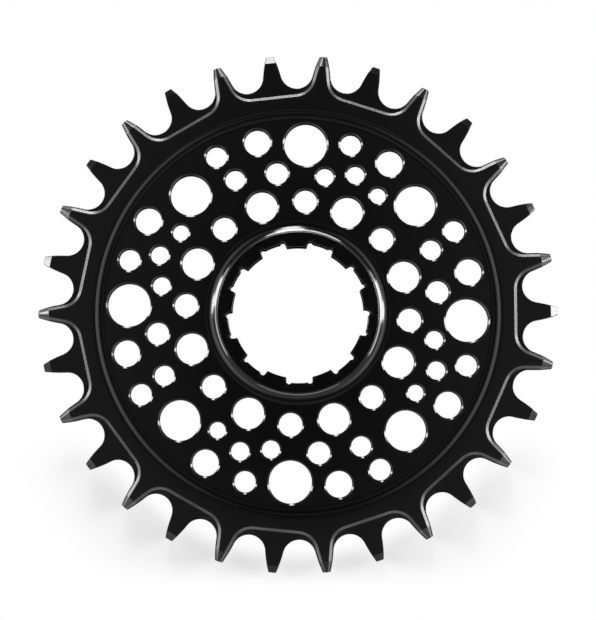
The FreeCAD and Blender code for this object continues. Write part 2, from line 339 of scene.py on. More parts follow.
@dataclass(frozen=True)
class ToothRing:
    """Rim with narrow and wide teeth in turn. The wide ones stand out as raised pads.

    The wall between a pad and the relief beside it leans at 45 degrees, so that along it the depth
    grows as fast as the distance from its upper edge.
    """

    back_height: float
    chain_pitch: float = 12.7
    tooth_pairs: int = 15
    seat_radius: float = 4.1
    seat_half_angle: float = 74.6
    flank_radius: float = 34
    addendum: float = 4.4
    tip_corner: float = 0.3
    narrow_thickness: float = 2.3
    relief_depth: float = 0.65
    tip_thickness: float = 0.54
    bevel_angle: float = 26.5
    relief_margin: float = 2.45
    relief_corner: float = 5.3
    pad_half_width: float = 1.1
    pad_lean: float = 10.5
    pad_edge: float = 0.3
    pad_foot: float = 0.15
    pad_bevel_angle: float = 24.5
    pad_bevel_run: float = 2.75
    pad_tip_depth: float = 0.3
    rim_edge: EdgeBreak = EdgeBreak(radius=0.15, bands=5)
    seat_chords: int = 12
    flank_chords: int = 6
    corner_chords: int = 6
    tip_chords: int = 2
    relief_corner_chords: int = 10
    relief_side_chords: int = 21
    pad_foot_chords: int = 8
    bevel_chords_per_tooth: int = 24
    crest_bands: int = 3
    foot_bands: int = 2
    wall_lean: ClassVar[float] = 45

    @property
    def teeth(self) -> int:
        """Number of teeth."""
        return 2 * self.tooth_pairs

    @property
    def step(self) -> float:
        """Angle from one tooth to the next, in degrees."""
        return 360 / self.teeth

    @property
    def pitch_radius(self) -> float:
        """Radius of the circle through the chain rollers."""
        return self.chain_pitch / 2 / math.sin(math.radians(self.step / 2))

    @property
    def tip_radius(self) -> float:
        """Radius of the tooth tips."""
        return self.pitch_radius + self.addendum

    @property
    def relief_chord(self) -> float:
        """Distance from the axis to the straight edge of a relief."""
        return self.pitch_radius - self.seat_radius - self.relief_margin

    @property
    def half_wide(self) -> float:
        """Half thickness of the rim and the raised pads."""
        return self.narrow_thickness / 2 + self.relief_depth

    @property
    def middle_height(self) -> float:
        """Height of the ring's middle plane."""
        return self.back_height + self.half_wide

    @property
    def pad_line_angle(self) -> float:
        """Angle of a pad's edge from the middle line of the narrow tooth beside it."""
        return self.step + self.pad_lean

    @property
    def pad_bevel_radius(self) -> float:
        """Radius at which the bevel of a raised pad starts."""
        return self.tip_radius - self.pad_bevel_run

    def outline(self) -> Outline:
        """Draw the toothed edge.

        Returns:
            The closed outline, with a narrow tooth on +X.
        """
        seat = complex(self.pitch_radius, 0)
        seat_end = 180 - self.seat_half_angle
        flank = seat + (self.seat_radius + self.flank_radius) * direction(seat_end)
        corner = circles_meet(flank, self.flank_radius - self.tip_corner,
                              0j, self.tip_radius - self.tip_corner)
        flank_end = bearing(corner - flank) % 360
        tip_start = bearing(corner)
        half = chain(
            arc(seat, self.seat_radius, 180, seat_end, self.seat_chords, Metal.OUTSIDE),
            arc(flank, self.flank_radius, seat_end + 180, flank_end, self.flank_chords, Metal.INSIDE),
            arc(corner, self.tip_corner, flank_end - 360, tip_start, self.corner_chords, Metal.INSIDE),
            arc(0j, self.tip_radius, tip_start, self.step / 2, self.tip_chords, Metal.INSIDE),
        )
        return half.full_turn(self.teeth, self.step / 2)

    def relief_corner_centre(self) -> complex:
        """Find the centre of a relief's round corner, beside a narrow tooth on +X.

        Returns:
            The centre.
        """
        edge = direction(self.pad_line_angle)
        pad = direction(self.step) * complex(self.pitch_radius, -self.pad_half_width)
        corner = pad - edge * (pad.real - self.relief_chord) / edge.real
        tangent = self.relief_corner * math.tan(math.radians(90 - self.pad_line_angle) / 2)
        return corner + complex(self.relief_corner, -tangent)

    def fold(self, plan: np.ndarray) -> np.ndarray:
        """Turn and mirror points to the upper side of a narrow tooth on +X.

        Args:
            plan: Points anywhere on the ring.

        Returns:
            The points that stand for them.
        """
        pair = 2 * math.pi / self.tooth_pairs
        angles = np.angle(plan)
        local = plan * np.exp(-1j * pair * np.round(angles / pair))
        return local.real + 1j * np.abs(local.imag)

    def relief_distance(self, plan: np.ndarray) -> np.ndarray:
        """Measure how far points lie inside the reliefs.

        Args:
            plan: Points to measure.

        Returns:
            Distances from the upper edge of the relief wall, below zero on the raised metal.
        """
        offset = self.fold(plan) - self.relief_corner_centre()
        edge = direction(self.pad_line_angle)
        turned = offset * edge.conjugate()
        round_part = self.relief_corner - np.abs(offset)
        line_part = self.relief_corner - turned.imag
        chord_part = self.relief_corner + offset.real
        return np.where(turned.real >= 0, line_part, np.where(offset.imag <= 0, chord_part, round_part))

    def relief_line(self, distance: float) -> np.ndarray:
        """Draw a line round one relief, out past the tooth tips.

        Args:
            distance: How far the line lies inside the relief's edge.

        Returns:
            Points of the line, round a narrow tooth on +X.
        """
        angles = np.linspace(180, 90 + self.pad_line_angle, self.relief_corner_chords + 1)
        spokes = np.exp(1j * np.radians(angles))
        bend = self.relief_corner_centre() + (self.relief_corner - distance) * spokes
        reach = self.tip_radius + self.tip_corner - abs(bend[-1])
        run = np.linspace(0, reach, self.relief_side_chords + 1)[1:]
        side = bend[-1] + direction(self.pad_line_angle) * run
        half = np.concatenate([bend, side])
        return np.concatenate([half.conj()[::-1], half])

    def wall_run(self) -> tuple[float, float]:
        """Tangent lengths of the rounds at the upper and lower edge of the relief wall."""
        lean = math.tan(math.radians(self.wall_lean) / 2)
        return self.pad_edge * lean, self.pad_foot * lean

    def wall_distances(self) -> list[float]:
        """List the crease lines that the relief wall is made with.

        Returns:
            Distances of the lines inside the relief's edge.
        """
        upper, lower = self.wall_run()
        crest = np.sin(np.radians(np.linspace(0, self.wall_lean, self.crest_bands + 1)))
        foot = np.sin(np.radians(np.linspace(self.wall_lean, 0, self.foot_bands + 1)))
        return [*(self.pad_edge * crest - upper), *(self.relief_depth + lower - self.pad_foot * foot)]

    def relief_drop(self, plan: np.ndarray) -> np.ndarray:
        """Give the depth of the reliefs, whose leaning walls have rounded edges.

        Args:
            plan: Points to measure.

        Returns:
            Depths below the rim face.
        """
        upper, lower = self.wall_run()
        inside = self.relief_distance(plan)
        lean = math.sin(math.radians(self.wall_lean))
        crest = np.clip(inside + upper, 0, self.pad_edge * lean)
        crest = self.pad_edge - np.sqrt(self.pad_edge ** 2 - crest ** 2)
        rest = np.clip(self.relief_depth + lower - inside, 0, self.pad_foot * lean)
        foot = self.relief_depth - self.pad_foot + np.sqrt(self.pad_foot ** 2 - rest ** 2)
        drop = np.where(inside < upper * lean, crest, inside)
        return np.where(inside > self.relief_depth - lower * lean, foot, drop)

    def bevel_limit(self, plan: np.ndarray) -> np.ndarray:
        """Half thickness that the turned bevel leaves at each point."""
        slope = math.tan(math.radians(self.bevel_angle))
        return self.tip_thickness / 2 + (self.tip_radius - np.abs(plan)) * slope

    def bevel_radius(self, half_thickness: float) -> float:
        """Radius at which the bevel starts on metal of this half thickness."""
        slope = math.tan(math.radians(self.bevel_angle))
        return self.tip_radius - (half_thickness - self.tip_thickness / 2) / slope

    def pad_bevel_drop(self, radius: np.ndarray) -> np.ndarray:
        """How far the bevel of a raised pad lies below the rim face."""
        past = np.maximum(radius - self.pad_bevel_radius, 0)
        return past * math.tan(math.radians(self.pad_bevel_angle))

    def pad_depth(self, radius: np.ndarray) -> np.ndarray:
        """Depth of the relief beside a raised pad, which grows less along the pad's bevel."""
        share = np.clip((radius - self.pad_bevel_radius) / self.pad_bevel_run, 0, 1)
        return self.relief_depth + (self.pad_tip_depth - self.relief_depth) * share

    def on_wide_tooth(self, plan: np.ndarray) -> np.ndarray:
        """Whether each point lies nearer to a wide tooth than to a narrow one."""
        return np.angle(self.fold(plan), deg=True) > self.step / 2

    def half_thickness(self, plan: np.ndarray) -> np.ndarray:
        """Give the half thickness of the ring before its edges are broken.

        Args:
            plan: Points to measure.

        Returns:
            Half thicknesses: narrow teeth lie under the turned bevel, wide ones keep their pad to the tip.
        """
        radius = np.abs(plan)
        drop = self.relief_drop(plan)
        narrow = np.minimum(self.half_wide - drop, self.bevel_limit(plan))
        wide = self.half_wide - self.pad_bevel_drop(radius) - np.minimum(drop, self.pad_depth(radius))
        return np.where(self.on_wide_tooth(plan), wide, narrow)

    def on_bevel(self, plan: np.ndarray) -> np.ndarray:
        """Tell which points lie on a bevel.

        Args:
            plan: Points to test.

        Returns:
            True on the tip of a narrow tooth and along the sloping end of a pad.
        """
        narrow = self.bevel_limit(plan) < self.half_wide - self.relief_drop(plan)
        upper, _ = self.wall_run()
        wide = (np.abs(plan) > self.pad_bevel_radius) & (self.relief_distance(plan) < upper)
        return np.where(self.on_wide_tooth(plan), wide, narrow)

    def on_relief_wall(self, plan: np.ndarray) -> np.ndarray:
        """Tell which points lie on the leaning wall of a relief.

        Args:
            plan: Points to test.

        Returns:
            True between the start of the wall's upper round and the end of its lower one.
        """
        upper, lower = self.wall_run()
        inside = self.relief_distance(plan)
        return (inside > -upper) & (inside < self.pad_depth(np.abs(plan)) + lower)

    def edge_wear_and_glint(self, plan: np.ndarray) -> np.ndarray:
        """Give how much of a pad's rounded edge each point is on, for the paler edge colour that is partly
        wear and partly a painted highlight.

        Args:
            plan: Points to measure.

        Returns:
            Shares from 0 to 1.
        """
        upper, _ = self.wall_run()
        crest = upper / 4
        reach = 2 * upper
        return np.clip(1 - np.abs(self.relief_distance(plan) - crest) / reach, 0, 1)

    def pad_foot_line(self) -> np.ndarray:
        """Draw the foot of one pad's wall along its bevel, beside a narrow tooth on +X.

        Returns:
            Points of the line, out past the tooth tip.
        """
        edge = direction(self.pad_line_angle)
        end = self.tip_radius + self.tip_corner
        radius = np.linspace(self.pad_bevel_radius, end, self.pad_foot_chords + 1)
        from_edge = self.relief_corner - self.pad_depth(radius)
        aside = (self.relief_corner_centre() * edge.conjugate()).imag + from_edge
        return edge * (np.sqrt(radius ** 2 - aside ** 2) + 1j * aside)

    def draw(self, plan: Planform) -> None:
        """Put the toothed outline, the relief walls and the bevel's edges into the plan.

        Args:
            plan: The plan to draw in.
        """
        plan.add_outline(self.outline(), self.rim_edge)
        foot = self.pad_foot_line()
        for pair in range(self.tooth_pairs):
            turn = direction(360 / self.tooth_pairs * pair)
            for distance in self.wall_distances():
                plan.add_line(turn * self.relief_line(distance))
            plan.add_line(turn * foot)
            plan.add_line(turn * foot.conj())
        for radius in (self.pad_bevel_radius, self.bevel_radius(self.narrow_thickness / 2)):
            plan.add_line(circle(radius, self.teeth * self.bevel_chords_per_tooth), True)


@dataclass(frozen=True)
class HoleRow:
    """Lightening holes of one size, evenly spaced on one circle."""

    copies: int
    angle: float
    ring_radius: float
    diameter: float

    def centres(self) -> np.ndarray:
        """Centres of the holes."""
        return circle(self.ring_radius, self.copies) * direction(self.angle)


@dataclass(frozen=True)
class Web:
    """Thin disc with lightening holes, joined to the rim by a rounded step on its outer side."""

    rim_radius: float
    foot_radius: float
    back_height: float
    rim_thickness: float
    thickness: float
    step_angle: float = 28
    crest_share: float = 0.33
    step_bands: int = 8
    ring_chords: int = 360
    inner_offset: float = 4.85
    hole_chords: int = 48
    hole_edge: Countersink = Countersink(width=0.4, angle=31)

    @property
    def recess(self) -> float:
        """How far the web lies below the rim on the outer side."""
        return self.rim_thickness - self.thickness

    @property
    def step_radii(self) -> float:
        """Radii of the step's two rounds, added up."""
        return self.recess / (1 - math.cos(math.radians(self.step_angle)))

    @property
    def step_middle(self) -> float:
        """Radius at which the convex crest runs over into the concave foot."""
        crest = self.step_radii * self.crest_share
        return self.rim_radius - crest * math.sin(math.radians(self.step_angle))

    @property
    def outer_radius(self) -> float:
        """Radius at which the flat web ends."""
        return self.rim_radius - self.step_radii * math.sin(math.radians(self.step_angle))

    def hole_rows(self) -> list[HoleRow]:
        """List the rows of holes, from the boss outwards and then the fourfold ones.

        Returns:
            The rows.
        """
        inner = self.foot_radius + self.inner_offset
        outer = self.outer_radius
        return [
            HoleRow(copies=8, angle=18.5, ring_radius=inner, diameter=7.85),
            HoleRow(copies=8, angle=40.9, ring_radius=inner, diameter=5.9),
            HoleRow(copies=8, angle=13.1, ring_radius=outer - 4.38, diameter=6.65),
            HoleRow(copies=8, angle=27.3, ring_radius=outer - 4.18, diameter=5.35),
            HoleRow(copies=4, angle=42.1, ring_radius=outer - 8.48, diameter=10.15),
            HoleRow(copies=4, angle=87.1, ring_radius=outer - 6.08, diameter=10.75),
            HoleRow(copies=4, angle=8.2, ring_radius=outer - 12.98, diameter=5.6),
            HoleRow(copies=4, angle=24.95, ring_radius=outer - 11.48, diameter=5.05),
            HoleRow(copies=4, angle=55.35, ring_radius=outer - 12.83, diameter=4.1),
            HoleRow(copies=4, angle=67.05, ring_radius=outer - 10.88, diameter=4.6),
            HoleRow(copies=4, angle=78.5, ring_radius=outer - 13.58, diameter=4.5),
        ]

    def front(self, radius: np.ndarray) -> np.ndarray:
        """Height of the outer side, with the step from the rim.

        Args:
            radius: Distances from the axis.

        Returns:
            Heights.
        """
        top = self.back_height + self.rim_thickness
        crest_round = self.step_radii * self.crest_share
        foot_round = self.step_radii - crest_round
        from_rim = np.clip(self.rim_radius - radius, 0, self.rim_radius - self.step_middle)
        from_web = np.clip(radius - self.outer_radius, 0, self.step_middle - self.outer_radius)
        crest = top - crest_round + np.sqrt(crest_round ** 2 - from_rim ** 2)
        foot = top - self.recess + foot_round - np.sqrt(foot_round ** 2 - from_web ** 2)
        return np.where(radius > self.step_middle, crest, foot)

    def draw(self, plan: Planform) -> None:
        """Put the step's rings and the holes into the plan.

        Args:
            plan: The plan to draw in.
        """
        foot = np.linspace(self.outer_radius, self.step_middle, self.step_bands + 1)
        crest = np.linspace(self.step_middle, self.rim_radius, self.step_bands + 1)
        for radius in (*foot, *crest[1:]):
            plan.add_line(circle(radius, self.ring_chords), True)
        spokes = circle(1, self.hole_chords)
        for row in self.hole_rows():
            for centre in row.centres():
                plan.add_outline(Outline(centre + row.diameter / 2 * spokes, spokes), self.hole_edge)


@dataclass(frozen=True)
class SplineBoss:
    """Ring round the bore, with nine grooves for the hub's splines."""

    web_height: float
    back_height: float
    grooves: int = 9
    bore_radius: float = 16.45
    groove_depth: float = 1.2
    groove_width: float = 6.5
    groove_angle: float = 30.9
    ear_radius: float = 0.65
    ear_depth: float = 0.2
    land_corner: float = 0.2
    wall: float = 2.55
    cove_width: float = 3.05
    cove_height: float = 1.45
    rise: float = 0.2
    front_edge: float = 0.08
    wall_draft: float = 0.03
    shoulder_edge: float = 0.2
    bore_edge: EdgeBreak = EdgeBreak(radius=0.15, bands=5)
    ring_chords: int = 216
    floor_chords: int = 6
    ridge_chords: int = 4
    ear_chords: int = 10
    corner_chords: int = 5
    land_chords: int = 4
    cove_bands: int = 16
    edge_bands: int = 4
    ring_digits: int = 4
    ring_gap: float = 0.004

    @property
    def groove_radius(self) -> float:
        """Radius of the groove floors."""
        return self.bore_radius + self.groove_depth

    @property
    def radius(self) -> float:
        """Outer radius of the boss."""
        return self.groove_radius + self.wall

    @property
    def foot_radius(self) -> float:
        """Radius at which the boss runs out into the web."""
        return self.radius + self.cove_width

    @property
    def cove_radius(self) -> float:
        """Radius of the concave fillet, which leaves the web tangentially."""
        return (self.cove_width ** 2 + self.cove_height ** 2) / 2 / self.cove_height

    @property
    def wall_end(self) -> float:
        """Radius at which the boss's slightly drafted walls meet its broken edges."""
        return self.radius - self.wall_draft

    def outline(self) -> Outline:
        """Draw the splined bore with round reliefs in the corners of its grooves.

        Returns:
            The closed outline.
        """
        half_width = self.groove_width / 2
        corner = self.land_corner
        ear = complex(self.groove_radius + self.ear_depth - self.ear_radius, half_width - self.ear_radius)
        ridge = circles_meet(ear, self.ear_radius + corner, 0j, self.groove_radius + corner)
        aside = half_width + corner
        land = complex(math.sqrt((self.bore_radius + corner) ** 2 - aside ** 2), aside)
        ridge_start = bearing(-ridge) % 360
        land_end = 180 / self.grooves
        half = chain(
            arc(0j, self.groove_radius, 0, bearing(ridge), self.floor_chords, Metal.OUTSIDE),
            arc(ridge, corner, ridge_start, bearing(ear - ridge), self.ridge_chords, Metal.INSIDE),
            arc(ear, self.ear_radius, bearing(ridge - ear), 90, self.ear_chords, Metal.OUTSIDE),
            arc(land, corner, 270, bearing(-land) % 360, self.corner_chords, Metal.INSIDE),
            arc(0j, self.bore_radius, bearing(land), land_end, self.land_chords, Metal.OUTSIDE),
        )
        return half.full_turn(self.grooves, self.groove_angle)

    def front(self, radius: np.ndarray) -> np.ndarray:
        """Height of the outer side, with the cove from the web and the round at the boss's edge.

        Args:
            radius: Distances from the axis.

        Returns:
            Heights.
        """
        inward = np.clip(self.foot_radius - radius, 0, self.cove_width)
        cove = self.web_height + self.cove_radius - np.sqrt(self.cove_radius ** 2 - inward ** 2)
        top = self.web_height + self.cove_height + self.rise
        past = np.clip(radius - self.wall_end + self.front_edge, 0, self.front_edge)
        crest = top - self.front_edge + np.sqrt(self.front_edge ** 2 - past ** 2)
        share = np.clip((radius - self.wall_end) / self.wall_draft, 0, 1)
        side = top - self.front_edge - share * (self.rise - self.front_edge)
        return np.where(radius >= self.radius, cove, np.where(radius > self.wall_end, side, crest))

    def back(self, radius: np.ndarray) -> np.ndarray:
        """Height of the inner side, with the square shoulder behind the web.

        Args:
            radius: Distances from the axis.

        Returns:
            Heights.
        """
        past = np.clip(radius - self.wall_end + self.shoulder_edge, 0, self.shoulder_edge)
        crest = self.shoulder_edge - np.sqrt(self.shoulder_edge ** 2 - past ** 2)
        share = np.clip((radius - self.wall_end) / self.wall_draft, 0, 1)
        side = self.shoulder_edge + share * (self.back_height - self.shoulder_edge)
        return np.where(radius > self.wall_end, side, crest)

    def ring_radii(self) -> list[float]:
        """List the radii of the crease circles of cove, edges and shoulder.

        Returns:
            The radii, without those that lie too close below another.
        """
        cove = np.linspace(self.foot_radius, self.radius, self.cove_bands + 1)
        quarter = np.linspace(0, math.pi / 2, self.edge_bands + 1)
        crest = self.wall_end - self.front_edge * (1 - np.sin(quarter))
        shoulder = self.wall_end - self.shoulder_edge * (1 - np.sin(quarter))
        radii = sorted({round(radius, self.ring_digits) for radius in (*cove, *crest, *shoulder)})
        following = [*radii[1:], math.inf]
        return [radius for radius, after in zip(radii, following) if after - radius > self.ring_gap]

    def draw(self, plan: Planform) -> None:
        """Put the bore and the boss's rings into the plan.

        Args:
            plan: The plan to draw in.
        """
        plan.add_outline(self.outline(), self.bore_edge)
        for radius in self.ring_radii():
            plan.add_line(circle(radius, self.ring_chords), True)


class NodePen:
    """Places and joins nodes in one node tree."""

    def __init__(self, tree: bpy.types.NodeTree) -> None:
        """Take a tree and clear it."""
        self.tree = tree
        tree.nodes.clear()

    def add(self, kind: str, settings: dict[str, object] | None = None, **inputs: object) -> bpy.types.Node:
        """Add a node.

        Args:
            kind: Blender's name for the node type.
            settings: Properties of the node.
            inputs: Values or sockets for its inputs, by name with underscores for spaces.

        Returns:
            The node.
        """
        node = self.tree.nodes.new(kind)
        for name, value in (settings or {}).items():
            setattr(node, name, value)
        for name, value in inputs.items():
            self.set(node, name.replace("_", " "), value)
        return node

    def set(self, node: bpy.types.Node, name: str | int, value: object) -> None:
        """Give an input a value, or join a socket to it.

        Args:
            node: The node.
            name: Name or number of its input.
            value: A plain value, or a socket of another node.
        """
        if isinstance(value, bpy.types.NodeSocket):
            self.tree.links.new(value, node.inputs[name])
        else:
            node.inputs[name].default_value = value

    def fill(self, node: bpy.types.Node, *values: object) -> bpy.types.NodeSocket:
        """Give a node's inputs values in their order.

        Args:
            node: The node.
            values: Plain values or sockets.

        Returns:
            The node's first output.
        """
        for number, value in enumerate(values):
            self.set(node, number, value)
        return node.outputs[0]

    def math(self, operation: str, *values: object) -> bpy.types.NodeSocket:
        """Add a math node on numbers or sockets and return its result."""
        return self.fill(self.add("ShaderNodeMath", {"operation": operation}), *values)

    def length(self, across: bpy.types.NodeSocket, along: bpy.types.NodeSocket) -> bpy.types.NodeSocket:
        """Work out the length of a flat vector from its two parts.

        Args:
            across: Its part along X.
            along: Its part along Y.

        Returns:
            The length.
        """
        squares = [self.math("POWER", part, 2.0) for part in (across, along)]
        return self.math("SQRT", self.math("ADD", *squares))

    def mix_colours(self, factor: bpy.types.NodeSocket, first: object,
                    second: object) -> bpy.types.NodeSocket:
        """Mix two colours.

        Args:
            factor: Share of the second colour.
            first: The first colour or its socket.
            second: The second colour or its socket.

        Returns:
            The mixed colour.
        """
        node = self.add("ShaderNodeMix", {"data_type": "RGBA"}, Factor=factor)
        for number, colour in zip(MIX_COLOURS, (first, second)):
            self.set(node, number, colour)
        return node.outputs[MIX_RESULT]


@dataclass(frozen=True)
class Fade:
    """A smooth change from one tone to another, over a span of what it depends on."""

    start: float
    end: float
    tone_before: float
    tone_after: float

    def of(self, pen: NodePen, value: bpy.types.NodeSocket) -> bpy.types.NodeSocket:
        """Add the change to a node tree.

        Args:
            pen: Pen of the tree.
            value: What the change depends on.

        Returns:
            The tone.
        """
        node = pen.add("ShaderNodeMapRange", {"interpolation_type": "SMOOTHSTEP"}, Value=value,
                       From_Min=self.start, From_Max=self.end,
                       To_Min=self.tone_before, To_Max=self.tone_after)
        return node.outputs["Result"]


def new_group(name: str, inputs: dict[str, float], output: str) -> tuple[bpy.types.NodeTree, NodePen]:
    """Start a shader node group with plain number inputs and one number output.

    Args:
        name: Name of the group.
        inputs: Its inputs with their usual values.
        output: Name of its output.

    Returns:
        The group and a pen that draws in it.
    """
    group = bpy.data.node_groups.new(name, "ShaderNodeTree")
    for socket, value in inputs.items():
        made = group.interface.new_socket(socket, in_out="INPUT", socket_type="NodeSocketFloat")
        made.default_value = value
    group.interface.new_socket(output, in_out="OUTPUT", socket_type="NodeSocketFloat")
    return group, NodePen(group)


@dataclass
class SurfaceEffects:
    """Node groups that the cog's finishes share. Scales are counts per metre."""

    speck_share: float = 0.6
    waver_scale: float = 260.0
    wear_glint_scale: float = 900.0
    flat_view: Fade = Fade(0.3, 0.5, 0.0, 1.0)
    grain: bpy.types.NodeTree = field(init=False)
    tool_marks: bpy.types.NodeTree = field(init=False)
    worn_and_glinting_edges: bpy.types.NodeTree = field(init=False)
    satin_haze: bpy.types.NodeTree = field(init=False)

    def __post_init__(self) -> None:
        """Build each group once."""
        self.grain = self.build_grain()
        self.tool_marks = self.build_tool_marks()
        self.worn_and_glinting_edges = self.build_worn_and_glinting_edges()
        self.satin_haze = self.build_satin_haze()

    def build_grain(self) -> bpy.types.NodeTree:
        """Build the etched grain of anodised metal: fine specks over slow blotches.

        Returns:
            The group.
        """
        group, pen = new_group("anodise_grain", {"Speck Size": 0.1, "Blotch Size": 4.0}, "Grain")
        given = pen.add("NodeGroupInput")
        place = pen.add("ShaderNodeTexCoord").outputs["Object"]
        speck_scale = pen.math("DIVIDE", 1 / MM, given.outputs["Speck Size"])
        blotch_scale = pen.math("DIVIDE", 1 / MM, given.outputs["Blotch Size"])
        speck = pen.add("ShaderNodeTexNoise", Vector=place, Scale=speck_scale, Detail=2.0, Roughness=0.6)
        blotch = pen.add("ShaderNodeTexNoise", Vector=place, Scale=blotch_scale, Detail=3.0, Roughness=0.55)
        slow = pen.math("MULTIPLY", blotch.outputs["Fac"], 1 - self.speck_share)
        both = pen.math("MULTIPLY_ADD", speck.outputs["Fac"], self.speck_share, slow)
        pen.add("NodeGroupOutput", Grain=both)
        return group

    def build_tool_marks(self) -> bpy.types.NodeTree:
        """Build the fine rings that turning leaves round the axis.

        Returns:
            The group.
        """
        group, pen = new_group("tool_marks", {"Pitch": 0.15, "Waver": 0.5}, "Height")
        given = pen.add("NodeGroupInput")
        place = pen.add("ShaderNodeTexCoord").outputs["Object"]
        parts = pen.add("ShaderNodeSeparateXYZ", Vector=place)
        radius = pen.length(parts.outputs["X"], parts.outputs["Y"])
        turns = pen.math("DIVIDE", pen.math("MULTIPLY", radius, 1 / MM), given.outputs["Pitch"])
        noise = pen.add("ShaderNodeTexNoise", Vector=place, Scale=self.waver_scale, Detail=2.0)
        swayed = pen.math("MULTIPLY_ADD", noise.outputs["Fac"], given.outputs["Waver"], turns)
        wave = pen.math("SINE", pen.math("MULTIPLY", swayed, 2 * math.pi))
        pen.add("NodeGroupOutput", Height=pen.math("MULTIPLY_ADD", wave, 0.5, 0.5))
        return group

    def build_worn_and_glinting_edges(self) -> bpy.types.NodeTree:
        """Build the mask of the paler edges, partly handling wear and partly a painted highlight, broken up
        by noise.

        Returns:
            The group.
        """
        group, pen = new_group("worn_and_glinting_edges", {"Amount": 0.5}, "Mask")
        given = pen.add("NodeGroupInput")
        edge = pen.add("ShaderNodeAttribute", {"attribute_name": WEAR_AND_GLINT_ATTRIBUTE})
        place = pen.add("ShaderNodeTexCoord").outputs["Object"]
        noise = pen.add("ShaderNodeTexNoise", Vector=place, Scale=self.wear_glint_scale, Detail=3.0)
        broken = pen.math("MULTIPLY", edge.outputs["Fac"], noise.outputs["Fac"])
        pen.add("NodeGroupOutput", Mask=pen.math("MULTIPLY", broken, given.outputs["Amount"]))
        return group

    def build_satin_haze(self) -> bpy.types.NodeTree:
        """Build the roughness that glossy metal gains where it is seen at a flat angle.

        Returns:
            The group. Its facing runs from 0, seen head on, to 1, seen along the surface.
        """
        group, pen = new_group("satin_haze", {"Facing": 0.0, "Amount": 0.5}, "Roughness")
        given = pen.add("NodeGroupInput")
        share = self.flat_view.of(pen, given.outputs["Facing"])
        pen.add("NodeGroupOutput", Roughness=pen.math("MULTIPLY", share, given.outputs["Amount"]))
        return group


@dataclass(frozen=True)
class AnodisedFinish:
    """Dyed black oxide on aluminium, as one way of cutting leaves it."""

    name: str
    dark: Colour
    light: Colour
    roughness: tuple[float, float]
    # Paler edge colour and its amount: partly wear, partly a painted highlight along the edges.
    worn_glint_colour: Colour = (0.014, 0.014, 0.0145)
    speck_size: float = 0.12
    mark_pitch: float = 0.3
    mark_share: float = 0.0
    bump_distance: float = 0.002
    wear_glint_amount: float = 0.3
    film_ior: float = 2.0
    haze: float = 0.0

    def colour(self, pen: NodePen, grain: bpy.types.NodeSocket,
               effects: SurfaceEffects) -> bpy.types.NodeSocket:
        """Work out the dye's colour, with paler edges that are partly wear and partly a painted highlight.

        Args:
            pen: Pen of the material's tree.
            grain: The grain, from 0 to 1.
            effects: The shared node groups.

        Returns:
            The colour.
        """
        worn_glint = pen.add("ShaderNodeGroup", {"node_tree": effects.worn_and_glinting_edges}, Amount=self.wear_glint_amount)
        tone = pen.mix_colours(grain, (*self.dark, 1), (*self.light, 1))
        return pen.mix_colours(worn_glint.outputs["Mask"], tone, (*self.worn_glint_colour, 1))

    def gloss(self, pen: NodePen, grain: bpy.types.NodeSocket,
              effects: SurfaceEffects) -> bpy.types.NodeSocket:
        """Work out the roughness, which follows the grain and the haze.

        Args:
            pen: Pen of the material's tree.
            grain: The grain, from 0 to 1.
            effects: The shared node groups.

        Returns:
            The roughness.
        """
        smooth, rough = self.roughness
        etched = pen.add("ShaderNodeMapRange", Value=grain, To_Min=smooth, To_Max=rough).outputs["Result"]
        if not self.haze:
            return etched
        facing = pen.add("ShaderNodeLayerWeight").outputs["Facing"]
        haze = pen.add("ShaderNodeGroup", {"node_tree": effects.satin_haze}, Facing=facing, Amount=self.haze)
        return pen.math("ADD", etched, haze.outputs["Roughness"])

    def height(self, pen: NodePen, grain: bpy.types.NodeSocket,
               effects: SurfaceEffects) -> bpy.types.NodeSocket:
        """Work out the fine relief, with tool marks where the cutting leaves them.

        Args:
            pen: Pen of the material's tree.
            grain: The grain, from 0 to 1.
            effects: The shared node groups.

        Returns:
            The height, in bump distances.
        """
        if not self.mark_share:
            return grain
        marks = pen.add("ShaderNodeGroup", {"node_tree": effects.tool_marks}, Pitch=self.mark_pitch)
        return pen.math("MULTIPLY_ADD", marks.outputs["Height"], self.mark_share, grain)

    def material(self, effects: SurfaceEffects) -> bpy.types.Material:
        """Build the finish as a material.

        Args:
            effects: The shared node groups.

        Returns:
            The material.
        """
        made = bpy.data.materials.new(self.name)
        made.use_nodes = True
        pen = NodePen(made.node_tree)
        etching = pen.add("ShaderNodeGroup", {"node_tree": effects.grain}, Speck_Size=self.speck_size)
        grain = etching.outputs["Grain"]
        bump = pen.add("ShaderNodeBump", Height=self.height(pen, grain, effects),
                       Strength=1.0, Distance=self.bump_distance * MM)
        shader = pen.add("ShaderNodeBsdfPrincipled", Base_Color=self.colour(pen, grain, effects),
                         Roughness=self.gloss(pen, grain, effects), IOR=self.film_ior,
                         Normal=bump.outputs["Normal"])
        pen.add("ShaderNodeOutputMaterial", Surface=shader.outputs["BSDF"])
        return made


